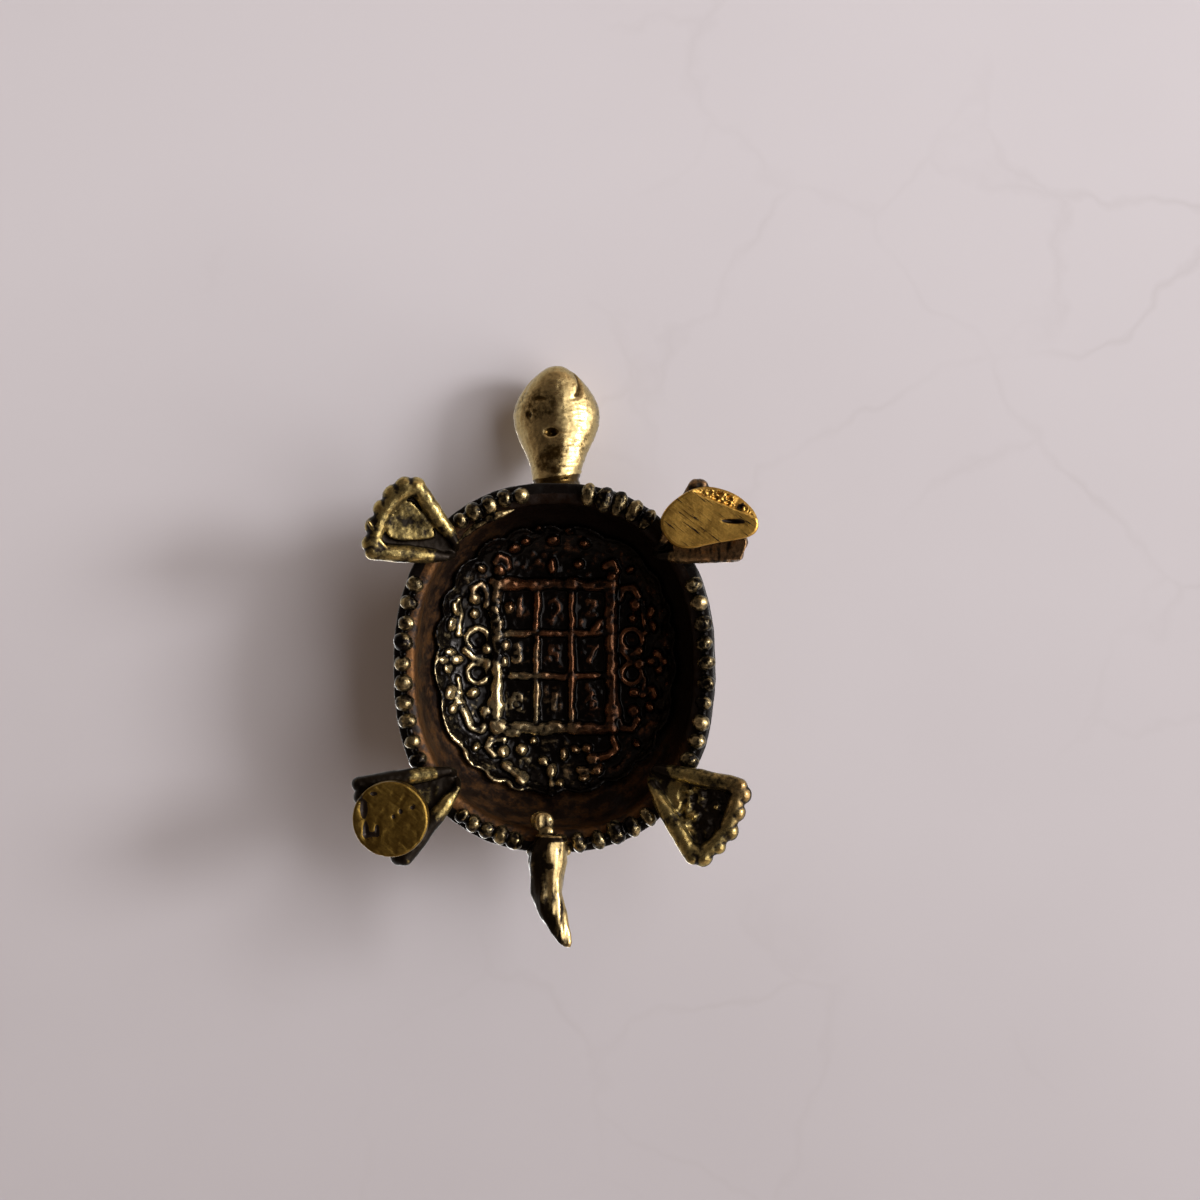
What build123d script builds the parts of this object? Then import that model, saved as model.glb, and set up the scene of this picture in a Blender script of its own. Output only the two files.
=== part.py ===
from build123d import *
import os
from math import atan2, cos, degrees, radians, sin

# A small cast brass turtle standing on its four feet. Lengths are in millimetres and angles in degrees.
# The head points to -Y, the tail to +Y, the turtle's left is +X, and the table is at z = 0.

# Shell: an oval dome of thin cast brass, open below, with an oval window in its crown
rim_length = 57.4
rim_width = 50.0
rim_overhang = 2.1
rim_thickness = 1.0
rim_height = 7.5
dome_rise = 16.4
wall = 1.4
shell_y = 2.3
crown_y = 1.3
oval_fullness = 2.3
oval_sides = 40
bezel_width = 1.3
bezel_height = 0.5

# Crown plate: the cast ornament that is seated in the window from inside
plate_width = 38.6
plate_length = 43.2
plate_thickness = 0.8
plate_lap = 1.5
plate_clearance = 0.3
lobe_count = 22
lobe_height = 0.9
relief_inside = 0.9
relief_outside = 1.1
edge_bead_width = 0.5
grid_width = 19.6
grid_length = 24.4
grid_line = 1.3
grid_inner_line = 0.9
ring_diameter = 4.6
ring_bore = 3.0
hook_radius = 1.4
hook_line = 0.8
hook_sweep = 240
hook_steps = 5
drop_length = 2.3
drop_width = 1.3
dot_diameter = 1.5
dot_sides = 6
leaf_length = 3.4
leaf_width = 1.3

# Beads under the rim, in six strips between the head, the feet and the tail
bead_diameter = 2.4
side_pitch = 3.05
end_pitch = 2.55
bead_inset = 1.6
small_sides = 8
bead_chamfer = 0.6
strip_width = 1.3
strip_thickness = 0.6

# Feet: fans on a thick root that is fixed under the rim; two of them stand clear of the table on their soles
root_width = 2.8
root_depth = 3.2
seat_run = 4.6
front_root_x = 15.4
front_root_y = 15.6
front_reach = 13.5
front_toe_radius = 1.3
front_heading = -31
front_toe_spread = 25
front_left_lift = 1.6
rear_root_x = 15.2
rear_root_y = 18.9
rear_left_reach = 15.1
rear_right_reach = 15.4
rear_toe_radius = 1.5
rear_left_heading = 35.5
rear_right_heading = 33
rear_toe_spread = 23
rear_right_lift = 1.8
fan_spread = 32
toe_count = 5
toe_thickness = 1.5
foot_arch = 0.7
ridge_diameter = 1.8
ridge_stand_out = 0.35
pan_start = 4.2
pan_floor = 1.0
pan_border = 1.5
pan_corner = 0.5
toe_crease = 0.5

# Soles: lumps filed flat under two of the feet
leaf_sole_length = 15.2
leaf_sole_width = 9.8
leaf_sole_x = 23.7
leaf_sole_y = -20.7
round_sole_diameter = 11.8
round_sole_x = 24.7
round_sole_y = 25.2
round_sole_sides = 24

# Head and neck
section_sides = 16
neck_width = 7.6
neck_z = 13.6
head_width = 13.8
head_height = 10.8
head_z = 18.6
head_y = 37.8
snout_y = 45.4
mouth_gap = 0.4
mouth_depth = 0.6
mouth_z = 17.4
eye_diameter = 2.2
eye_stand_out = 0.5
eye_y = 40.8
eye_z = 20.5

# Tail
tail_width = 6.4
tail_depth = 5.0
tail_tip_y = 45.4
tail_tip_x = 2.1
tail_drop = 2.1

# How far the tools that cut or trim a solid run past it
overrun = 1.0

# Shares of the dome's half width and of its rise, up the wall, over the shoulder and to the flat crown
dome_shares = (
    (1.0, 0.0),
    (0.99, 0.2),
    (0.965, 0.42),
    (0.925, 0.63),
    (0.86, 0.79),
    (0.77, 0.9),
    (0.64, 1.0),
)

# Shares of a lobe's height, round one lobe of the plate's edge from notch to notch
lobe_shares = (0.0, 1.0, 1.0)

# Shares of the grid: where its inner lines cross, from the middle
grid_line_shares = (0.29, 0.295)

# Share of a drop's length from its middle to its shoulder
drop_shoulder_share = 0.2

# Shares of the plate's half width and half length, for one quarter of the ornament
ring_shares = ((0.655, 0.138),)
hook_shares = ((0.60, 0.50), (0.45, 0.675))
drop_shares = ((0.805, 0.265, 80), (0.82, 0.385, 100), (0.90, 0.07, 15), (0.30, 0.885, 35), (0.38, 0.80, 55))
dot_shares = ((0.245, 0.69), (0.85, 0.16), (0.74, 0.46), (0.62, 0.645), (0.655, 0.30))
leaf_shares = (0.82,)

# Shares of the leaf-shaped sole's half length and half width, round its outline
leaf_sole_shares = (
    (-1.0, 0.1),
    (-0.66, 0.94),
    (-0.2, 0.84),
    (0.3, 0.68),
    (0.84, 0.56),
    (1.0, 0.3),
    (0.9, -0.16),
    (0.56, -0.74),
    (0.0, -1.04),
    (-0.42, -0.82),
)

# Shares of the neck's and head's run, of the rise from the neck to the head and of the head's size, front on
head_shares = (
    (0.0, -0.2, 0.55),
    (0.28, 0.26, 0.55),
    (0.4, 0.5, 0.66),
    (0.52, 0.78, 0.86),
    (0.61, 0.94, 0.97),
    (0.68, 1.0, 1.0),
    (0.75, 1.0, 0.96),
    (0.84, 0.96, 0.79),
    (0.92, 0.86, 0.5),
    (1.0, 0.76, 0.1),
)

# Shares of the tail tip's offset, of the tail's run, of its drop and of its root's size
tail_shares = (
    (-0.85, -0.08, -0.3, 0.55),
    (-0.6, 0.14, -0.05, 0.9),
    (-0.5, 0.27, 0.05, 0.97),
    (-0.54, 0.45, 0.25, 0.82),
    (-0.28, 0.65, 0.5, 0.7),
    (0.15, 0.78, 0.68, 0.57),
    (0.6, 0.89, 0.84, 0.42),
    (1.0, 1.0, 1.0, 0.14),
)

# Half the eyes' distance, as a share of the head's width
eye_share = 0.4

# The foot of the dome, inside the rim's flange
foot_width = rim_width - 2 * rim_overhang
foot_length = rim_length - 2 * rim_overhang


def oval_point(half_width, half_length, angle):
    """A point of a full oval, at one angle from +X."""
    across = cos(radians(angle))
    along = sin(radians(angle))
    radius = abs(across) ** oval_fullness + abs(along) ** oval_fullness
    scale_share = radius ** (-1 / oval_fullness)
    return (half_width * across * scale_share, half_length * along * scale_share)


def oval_points(half_width, half_length):
    """The corners of a full oval of many sides."""
    return [oval_point(half_width, half_length, 360 * step / oval_sides) for step in range(oval_sides)]


def oval_sketch(half_width, half_length, middle_y, height):
    """A full oval with its middle on the long axis, lying level at one height."""
    with BuildSketch(Plane((0, middle_y, height))) as oval:
        Polygon(*oval_points(half_width, half_length), align=None)
    return oval.sketch


def faceted_solid(rings):
    """A solid of flat faces through a row of rings that have as many corners as each other."""
    faces = [Face(Wire.make_polygon(rings[0])), Face(Wire.make_polygon(rings[-1]))]
    for lower, upper in zip(rings, rings[1:]):
        for corner in range(len(lower)):
            after = (corner + 1) % len(lower)
            faces.append(Face(Wire.make_polygon([lower[corner], lower[after], upper[after], upper[corner]])))
    return Solid(Shell(faces))


def dome_solid(depth):
    """The whole dome, solid, at one depth below its outer skin: a wall, a shoulder and a flat crown."""
    rings = []
    for width_share, height_share in dome_shares:
        half_width = (foot_width / 2 - depth) * width_share
        half_length = (foot_length / 2 - depth) * width_share
        middle_y = shell_y + (crown_y - shell_y) * height_share
        height = rim_height + (dome_rise - depth) * height_share
        rings.append([(x, middle_y + y, height) for x, y in oval_points(half_width, half_length)])
    return faceted_solid(rings)


dome_skin = dome_solid(0)
dome_cavity = dome_solid(wall)
rim_oval = oval_sketch(rim_width / 2, rim_length / 2, shell_y, rim_height)

# The window's oval, which the plate's edge laps from inside
window_width = plate_width - 2 * plate_lap
window_length = plate_length - 2 * plate_lap
window_base = rim_height + dome_rise / 3
window = oval_sketch(window_width / 2, window_length / 2, crown_y, window_base)

# Raised bezel round the window, outside
with BuildPart() as bezel:
    extrude(oval_sketch(window_width / 2 + bezel_width, window_length / 2 + bezel_width, crown_y, window_base),
            amount=dome_rise)
    add(dome_solid(-bezel_height), mode=Mode.INTERSECT)
    add(dome_cavity, mode=Mode.SUBTRACT)

with BuildPart() as shell:
    add(dome_skin)
    extrude(rim_oval, amount=rim_thickness)
    add(bezel.part)
    add(dome_cavity, mode=Mode.SUBTRACT)
    extrude(window, amount=dome_rise, mode=Mode.SUBTRACT)


def scalloped_sketch(inset, height):
    """The plate's outline of shallow lobes, inset from its edge, on a level plane."""
    points = []
    for step in range(len(lobe_shares) * lobe_count):
        edge = inset + lobe_height * (1 - lobe_shares[step % len(lobe_shares)])
        angle = 90 + 360 * step / (len(lobe_shares) * lobe_count)
        points.append(oval_point(plate_width / 2 - edge, plate_length / 2 - edge, angle))
    with BuildSketch(Plane((0, crown_y, height))) as outline:
        Polygon(*points, align=None)
    return outline.sketch


def mirrored(shares):
    """The four places of one ornament, as offsets from the middle of the plate."""
    places = []
    for across in (-1, 1):
        for along in (-1, 1):
            places.append((across * shares[0] * plate_width / 2, along * shares[1] * plate_length / 2))
    return places


def pointed_drop(length, width):
    """A six-sided drop that lies along X."""
    shoulder = length * drop_shoulder_share
    half = width / 2
    tip = length / 2
    return ((-tip, 0), (-shoulder, -half), (shoulder, -half), (tip, 0), (shoulder, half), (-shoulder, half))


# The ornament: a grid of nine fields, four rings, hooks, drops, dots and two leaves on the long axis
with BuildSketch(Plane((0, crown_y, window_base))) as ornament:
    Rectangle(grid_width, grid_length)
    Rectangle(grid_width - 2 * grid_line, grid_length - 2 * grid_line, mode=Mode.SUBTRACT)
    for sign in (-1, 1):
        with Locations((sign * grid_line_shares[0] * grid_width / 2, 0)):
            Rectangle(grid_inner_line, grid_length - grid_line)
        with Locations((0, sign * grid_line_shares[1] * grid_length / 2)):
            Rectangle(grid_width - grid_line, grid_inner_line)
        with Locations((0, sign * leaf_shares[0] * plate_length / 2)):
            Polygon(*pointed_drop(leaf_length, leaf_width), rotation=90, align=None)
    for ring in ring_shares:
        with Locations(*mirrored(ring)):
            RegularPolygon(ring_diameter / 2, small_sides)
            RegularPolygon(ring_bore / 2, small_sides, mode=Mode.SUBTRACT)
    for hook in hook_shares:
        for place in mirrored(hook):
            turn = degrees(atan2(place[1], place[0]))
            curl = [turn + hook_sweep * (step / hook_steps - 0.5) for step in range(hook_steps + 1)]
            with BuildLine(mode=Mode.PRIVATE) as line:
                Polyline(*[(place[0] + hook_radius * cos(radians(angle)),
                            place[1] + hook_radius * sin(radians(angle))) for angle in curl])
            trace(line.line, hook_line)
    for drop in drop_shares:
        for place in mirrored(drop):
            lean = drop[2] if place[0] * place[1] > 0 else -drop[2]
            with Locations(Location((place[0], place[1], 0), lean)):
                Polygon(*pointed_drop(drop_length, drop_width), align=None)
    for dot in dot_shares:
        with Locations(*mirrored(dot)):
            RegularPolygon(dot_diameter / 2, dot_sides)

field_points = oval_points(window_width / 2 - plate_clearance, window_length / 2 - plate_clearance)
with BuildSketch(Plane((0, crown_y, window_base))) as framed:
    add(ornament.sketch_local)
    Polygon(*field_points, align=None, mode=Mode.INTERSECT)

# The sheet lies under the shell's cavity, and each face's relief stands on the sheet's middle surface
sheet_middle = dome_solid(wall + plate_thickness / 2)

with BuildPart() as outer_relief:
    extrude(framed.sketch, amount=dome_rise)
    add(dome_solid(wall - relief_outside), mode=Mode.INTERSECT)
    add(sheet_middle, mode=Mode.SUBTRACT)

with BuildPart() as inner_relief:
    extrude(scalloped_sketch(edge_bead_width / 2, window_base), amount=dome_rise)
    extrude(scalloped_sketch(edge_bead_width * 3 / 2, window_base), amount=dome_rise, mode=Mode.SUBTRACT)
    extrude(ornament.sketch, amount=dome_rise)
    add(sheet_middle, mode=Mode.INTERSECT)
    add(dome_solid(wall + plate_thickness + relief_inside), mode=Mode.SUBTRACT)

with BuildPart() as crown_plate:
    extrude(scalloped_sketch(0, window_base), amount=dome_rise)
    add(dome_cavity, mode=Mode.INTERSECT)
    add(dome_solid(wall + plate_thickness), mode=Mode.SUBTRACT)
    add(outer_relief.part)
    add(inner_relief.part)

shell.part.label = "shell"
crown_plate.part.label = "crown_plate"
pieces = [shell.part, crown_plate.part]

# Bead strips: the angles about the shell's middle between which each strip runs, and its pitch
strips = {
    "rim_beads_side_left": (-27.5, 30.5, side_pitch),
    "rim_beads_side_right": (149.5, 207.5, side_pitch),
    "rim_beads_front_left": (-77, -54, end_pitch),
    "rim_beads_front_right": (-126, -103, end_pitch),
    "rim_beads_rear_left": (54, 80, end_pitch),
    "rim_beads_rear_right": (105, 126, end_pitch),
}


def bead_point(outwards, angle):
    """A point on the beads' oval, moved outwards by an offset."""
    half_width = rim_width / 2 - bead_inset + outwards
    half_length = rim_length / 2 - bead_inset + outwards
    return oval_point(half_width, half_length, angle)


for name, (first, last, pitch) in strips.items():
    with BuildLine() as path:
        Spline(*[bead_point(0, first + (last - first) * step / small_sides) for step in range(small_sides + 1)])
    gaps = round(path.edge().length / pitch)
    places = [path.edge() @ (step / gaps) for step in range(gaps + 1)]
    angles = [first + (last - first) * step / gaps for step in range(gaps + 1)]
    edge_points = [bead_point(strip_width / 2, angle) for angle in angles]
    edge_points += [bead_point(-strip_width / 2, angle) for angle in reversed(angles)]
    with BuildPart() as strip:
        with BuildSketch(Plane((0, shell_y, rim_height))):
            Polygon(*edge_points, align=None)
        extrude(amount=-strip_thickness)
        with BuildSketch(Plane((0, shell_y, rim_height))):
            with Locations(*places):
                RegularPolygon(bead_diameter / 2, small_sides)
        extrude(amount=-bead_diameter)
        chamfer(strip.faces().sort_by(Axis.Z)[: gaps + 1].edges(), bead_chamfer)
    strip.part.label = name
    pieces.append(strip.part)

# Feet: side (+1 left, -1 right), root, heading from X, reach to the toes' middle, toe radius and spread, lift
feet = {
    "front_right_leg": (-1, front_root_x, -front_root_y, front_heading, front_reach, front_toe_radius,
                        front_toe_spread, 0),
    "front_left_leg": (1, front_root_x, -front_root_y, front_heading, front_reach, front_toe_radius,
                       front_toe_spread, front_left_lift),
    "rear_right_leg": (-1, rear_root_x, rear_root_y, rear_right_heading, rear_right_reach, rear_toe_radius,
                       rear_toe_spread, rear_right_lift),
    "rear_left_leg": (1, rear_root_x, rear_root_y, rear_left_heading, rear_left_reach, rear_toe_radius,
                      rear_toe_spread, 0),
}


def foot_planes(side, root_x, root_y, heading):
    """The level plane of a foot, along its heading, and the upright plane along the same line."""
    forward = Vector(side * cos(radians(heading)), sin(radians(heading)), 0)
    root = Vector(side * root_x, root_y, 0)
    level = Plane(origin=root, x_dir=forward, z_dir=(0, 0, 1))
    upright = Plane(origin=root, x_dir=forward, z_dir=forward.cross(Vector(0, 0, 1)))
    return level, upright


def underside(distance, tip, toe_base):
    """Height of a foot's underside at one distance from its root."""
    start = rim_height - root_depth
    return start + (toe_base - start) * distance / tip


def foot_solid(side, root_x, root_y, heading, reach, toe_radius, toe_spread, toe_base):
    """One fan-shaped foot: plan outline and side profile, with ridges, a pan below and creases on top."""
    plan, upright = foot_planes(side, root_x, root_y, heading)
    tip = reach + toe_radius
    back = root_width / 2
    corner = (reach * cos(radians(fan_spread)), reach * sin(radians(fan_spread)))

    with BuildPart() as pan:
        with BuildSketch(plan) as hollow:
            pan_reach = reach - toe_radius
            half = fan_spread - degrees(atan2(pan_border, pan_reach / 2))
            far = (pan_reach * cos(radians(half)), pan_reach * sin(radians(half)))
            with BuildLine():
                ThreePointArc((far[0], -far[1]), (pan_reach, 0), far)
                Polyline(far, (pan_start, 0), (far[0], -far[1]))
            make_face()
            fillet(hollow.vertices(), pan_corner)
        extrude(amount=rim_height)
        with BuildSketch(upright):
            Polygon(
                (0, -overrun),
                (0, underside(0, tip, toe_base) + pan_floor),
                (tip, underside(tip, tip, toe_base) + toe_thickness - pan_floor / 2),
                (tip, -overrun),
                align=None,
            )
        extrude(amount=tip, both=True, mode=Mode.INTERSECT)

    with BuildPart() as foot:
        with BuildSketch(plan):
            with BuildLine():
                ThreePointArc((corner[0], -corner[1]), (reach, 0), corner)
                Polyline(corner, (0, back), (-back, 0), (0, -back), (corner[0], -corner[1]))
            make_face()
            with PolarLocations(reach, toe_count, -toe_spread, 2 * toe_spread, endpoint=True):
                RegularPolygon(toe_radius, small_sides)
        extrude(amount=rim_height)
        with BuildSketch(upright):
            arch_z = (rim_height + toe_base + toe_thickness) / 2 + foot_arch
            Polygon(
                (-back, rim_height),
                (seat_run, rim_height),
                ((seat_run + tip) / 2, arch_z),
                (tip, toe_base + toe_thickness),
                (tip, toe_base),
                (-back, underside(-back, tip, toe_base)),
                align=None,
            )
        extrude(amount=tip, both=True, mode=Mode.INTERSECT)
        add(pan.part, mode=Mode.SUBTRACT)
        for edge in (-1, 1):
            sink = ridge_diameter / 2 - ridge_stand_out
            inner_end = plan.from_local_coords(Vector(0, edge * (back - ridge_diameter / 2), 0))
            outer_end = plan.from_local_coords(Vector(corner[0], edge * (corner[1] - ridge_diameter / 2), 0))
            inner_end.Z = underside(0, tip, toe_base) + sink
            outer_end.Z = underside(corner[0], tip, toe_base) + sink
            with BuildSketch(Plane(origin=inner_end, z_dir=outer_end - inner_end)):
                RegularPolygon(ridge_diameter / 2, small_sides)
            extrude(amount=(outer_end - inner_end).length)
        step_angle = 2 * toe_spread / (toe_count - 1)
        with BuildSketch(plan.offset(toe_base + toe_thickness)):
            crease_reach = reach + toe_radius / 2
            with PolarLocations(crease_reach, toe_count - 1, step_angle / 2 - toe_spread, 2 * toe_spread - step_angle,
                                endpoint=True):
                Rectangle(2 * toe_radius, toe_crease)
        extrude(amount=rim_height, mode=Mode.SUBTRACT)
        split(bisect_by=Plane.XY, keep=Keep.TOP)
    return foot.part


for name, values in feet.items():
    leg = foot_solid(*values)
    leg.label = name
    pieces.append(leg)

# Soles fill the pans of two feet and stand out below them, filed flat at the table
with BuildSketch(Plane((leaf_sole_x, leaf_sole_y, 0))) as leaf_outline:
    half_length = leaf_sole_length / 2
    half_width = leaf_sole_width / 2
    Polygon(*[(x * half_length, y * half_width) for x, y in leaf_sole_shares], align=None)
with BuildSketch(Plane((-round_sole_x, round_sole_y, 0))) as round_outline:
    RegularPolygon(round_sole_diameter / 2, round_sole_sides)

soles = {
    "front_left_sole": ("front_left_leg", leaf_outline.sketch),
    "rear_right_sole": ("rear_right_leg", round_outline.sketch),
}
for name, (leg_name, outline) in soles.items():
    side, root_x, root_y, heading, reach, toe_radius, toe_spread, toe_base = feet[leg_name]
    upright = foot_planes(side, root_x, root_y, heading)[1]
    tip = reach + toe_radius
    with BuildPart() as sole:
        extrude(outline, amount=rim_height)
        with BuildSketch(upright):
            Polygon(
                (-overrun, 0),
                (-overrun, underside(0, tip, toe_base) + pan_floor),
                (tip, underside(tip, tip, toe_base) + toe_thickness - pan_floor / 2),
                (tip + leaf_sole_length, toe_base),
                (tip + leaf_sole_length, 0),
                align=None,
            )
        extrude(amount=leaf_sole_length, both=True, mode=Mode.INTERSECT)
        for piece in pieces:
            if piece.label == leg_name:
                add(piece, mode=Mode.SUBTRACT)
    sole.part.label = name
    pieces.append(sole.part)


def round_points(half_width, half_height):
    """The corners of a plain oval of a few sides."""
    turns = [radians(360 * step / section_sides) for step in range(section_sides)]
    return [(half_width * cos(turn), half_height * sin(turn)) for turn in turns]


# Head and neck: rings from inside the shell's front wall to the snout, with the mouth's slot and two eyes
neck_run = shell_y - foot_length / 2 + neck_width / 2 + snout_y
head_rings = []
for run_share, rise_share, size_share in head_shares:
    y = neck_run * (1 - run_share) - snout_y
    middle_z = neck_z + (head_z - neck_z) * rise_share
    corners = round_points(head_width / 2 * size_share, head_height / 2 * size_share)
    head_rings.append([(x, y, middle_z + z) for x, z in corners])
with BuildPart() as head:
    add(faceted_solid(head_rings))
    with BuildSketch(Plane((0, -head_y, mouth_z))):
        Rectangle(2 * head_width, 2 * head_width, align=(Align.CENTER, Align.MAX))
        Polygon(*round_points(head_width / 2 - mouth_depth, snout_y - head_y - mouth_depth), align=None,
                mode=Mode.SUBTRACT)
    extrude(amount=mouth_gap, mode=Mode.SUBTRACT)
    with BuildSketch(Plane.YZ.offset(-head_width * eye_share - eye_stand_out)):
        with Locations((-eye_y, eye_z)):
            RegularPolygon(eye_diameter / 2, small_sides)
    extrude(amount=2 * (head_width * eye_share + eye_stand_out))
    add(dome_skin, mode=Mode.SUBTRACT)
    extrude(rim_oval, amount=rim_thickness, mode=Mode.SUBTRACT)
head.part.label = "head"
pieces.append(head.part)

# Tail: a curved horn that drops from a thick root inside the rim
tail_root_y = shell_y + foot_length / 2 - wall
tail_rings = []
for offset_share, run_share, drop_share, size_share in tail_shares:
    middle_x = tail_tip_x * offset_share
    y = tail_root_y + (tail_tip_y - tail_root_y) * run_share
    middle_z = rim_height - tail_depth / 2 - tail_drop * drop_share
    corners = round_points(tail_width / 2 * size_share, tail_depth / 2 * size_share)
    tail_rings.append([(middle_x + x, y, middle_z + z) for x, z in corners])
with BuildPart() as tail:
    add(faceted_solid(tail_rings))
    split(bisect_by=Plane.XY.offset(rim_height), keep=Keep.BOTTOM)
tail.part.label = "tail"
pieces.append(tail.part)

os.makedirs("parts", exist_ok=True)
for piece in pieces:
    export_step(piece, f"parts/{piece.label}.step")
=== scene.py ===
from math import atan2, cos, exp, hypot, pi, radians, sin

import bmesh
import bpy
import numpy as np
from mathutils import Matrix, Vector
from mathutils.noise import noise


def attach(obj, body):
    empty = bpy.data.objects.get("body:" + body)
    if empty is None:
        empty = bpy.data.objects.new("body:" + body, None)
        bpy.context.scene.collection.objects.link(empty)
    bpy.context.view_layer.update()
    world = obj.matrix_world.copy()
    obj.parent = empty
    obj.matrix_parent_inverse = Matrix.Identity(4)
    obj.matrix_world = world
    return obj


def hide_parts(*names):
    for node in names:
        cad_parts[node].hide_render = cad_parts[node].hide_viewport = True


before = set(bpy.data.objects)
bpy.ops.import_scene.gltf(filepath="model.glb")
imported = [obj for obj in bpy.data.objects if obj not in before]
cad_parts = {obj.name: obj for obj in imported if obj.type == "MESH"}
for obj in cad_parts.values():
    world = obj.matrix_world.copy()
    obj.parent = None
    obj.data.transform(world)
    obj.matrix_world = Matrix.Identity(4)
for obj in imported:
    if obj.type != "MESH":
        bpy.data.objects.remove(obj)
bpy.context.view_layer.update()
scene = bpy.context.scene

# The shell: one thin brass casting, an oval dome that is open below, with a flat flange for a rim and
# a raised bezel round the oval window in its crown. It is dark outside with the high places rubbed,
# and copper brown inside, with painted shade that turns the inside near black towards the turtle's
# left front. Sizes are in millimetres, and a finished mesh is scaled to metres.
millimetre = 0.001
rim_half_width, rim_half_length = 25.0, 28.7
foot_half_width, foot_half_length = 22.9, 26.6
rim_height, rim_thickness = 7.5, 1.0
dome_rise, wall = 16.4, 1.4
shell_middle_y, crown_middle_y = 2.3, 1.3
oval_fullness = 2.3
flat_share, dome_curve, dome_falloff = 0.5, 2.4, 0.42
shell_sides = 120
window_half_width = 17.8
bezel_width, bezel_height = 1.3, 0.5
cast_grain = ((0.45, 0.6), (1.3, 0.3), (3.1, 0.12))


def noise_at(x, y, z):
    """Smooth noise, from about -1 to 1, at one place."""
    return noise(Vector((x, y, z)))


def ramp(value, first, last):
    """How far a value is from the first one to the last, held between 0 and 1."""
    return min(1.0, max(0.0, (value - first) / (last - first)))


def drop_share(share):
    """How far the dome has dropped from its crown, at one share of its half width."""
    return 1 - (1 - ramp(share, flat_share, 1) ** dome_curve) ** dome_falloff


def oval_share(across, along):
    """The size of the full oval that a point lies on, from its two shares of the half sizes."""
    return (abs(across) ** oval_fullness + abs(along) ** oval_fullness) ** (1 / oval_fullness)


def dome_height(x, y, depth):
    """The height of a surface at one depth below the dome's outer skin."""
    share = oval_share(x / (foot_half_width - depth), (y - crown_middle_y) / (foot_half_length - depth))
    return rim_height + (dome_rise - depth) * (1 - drop_share(share))


def shape_ring(verts, half_width, half_length, middle_y, height):
    """Moves the corners of a unit circle onto a full oval at one height."""
    for vert in verts:
        turn = atan2(vert.co.y, vert.co.x)
        reach = 1 / oval_share(cos(turn), sin(turn))
        vert.co = (half_width * cos(turn) * reach, middle_y + half_length * sin(turn) * reach, height)


def verts_of(parts):
    """The corners among some parts of a shape."""
    return [part for part in parts if isinstance(part, bmesh.types.BMVert)]


def next_ring(shape, edges):
    """Extrudes a ring of edges and gives the new ring's corners and its edges."""
    made = bmesh.ops.extrude_edge_only(shape, edges=edges)["geom"]
    ring_edges = [part for part in made if isinstance(part, bmesh.types.BMEdge)
                  and all(vert in made for vert in part.verts)]
    return verts_of(made), ring_edges


def dome_ring(depth, share):
    """Half sizes, middle and height of the dome's oval at one depth and one share of its width."""
    height_share = 1 - drop_share(share)
    middle_y = shell_middle_y + (crown_middle_y - shell_middle_y) * height_share
    return ((foot_half_width - depth) * share, (foot_half_length - depth) * share, middle_y,
            rim_height + (dome_rise - depth) * height_share)


def mesh_of(name, shape):
    """A mesh with all of a shape in it, which ends the shape."""
    mesh = bpy.data.meshes.new(name)
    shape.to_mesh(mesh)
    shape.free()
    return mesh


def add(name, content):
    """A new object in the scene."""
    made = bpy.data.objects.new(name, content)
    scene.collection.objects.link(made)
    return made


def wear_of(mesh, rounds):
    """How far each vertex stands out of its own surroundings, in tenths of a millimetre."""
    count = len(mesh.vertices)
    places = np.empty((count, 3))
    mesh.vertices.foreach_get("co", places.ravel())
    normals = np.empty((count, 3))
    mesh.vertex_normals.foreach_get("vector", normals.ravel())
    ends = np.empty((len(mesh.edges), 2), np.int32)
    mesh.edges.foreach_get("vertices", ends.ravel())
    near = np.maximum(np.bincount(ends.ravel(), minlength=count), 1)
    soft = places.copy()
    for _ in range(rounds):
        total = np.zeros_like(soft)
        for axis in range(3):
            total[:, axis] = np.bincount(ends[:, 0], soft[ends[:, 1], axis], count)
            total[:, axis] += np.bincount(ends[:, 1], soft[ends[:, 0], axis], count)
        soft = (soft + total / near[:, None]) / 2
    return ((places - soft) * normals).sum(1) / (0.1 * millimetre)


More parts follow.
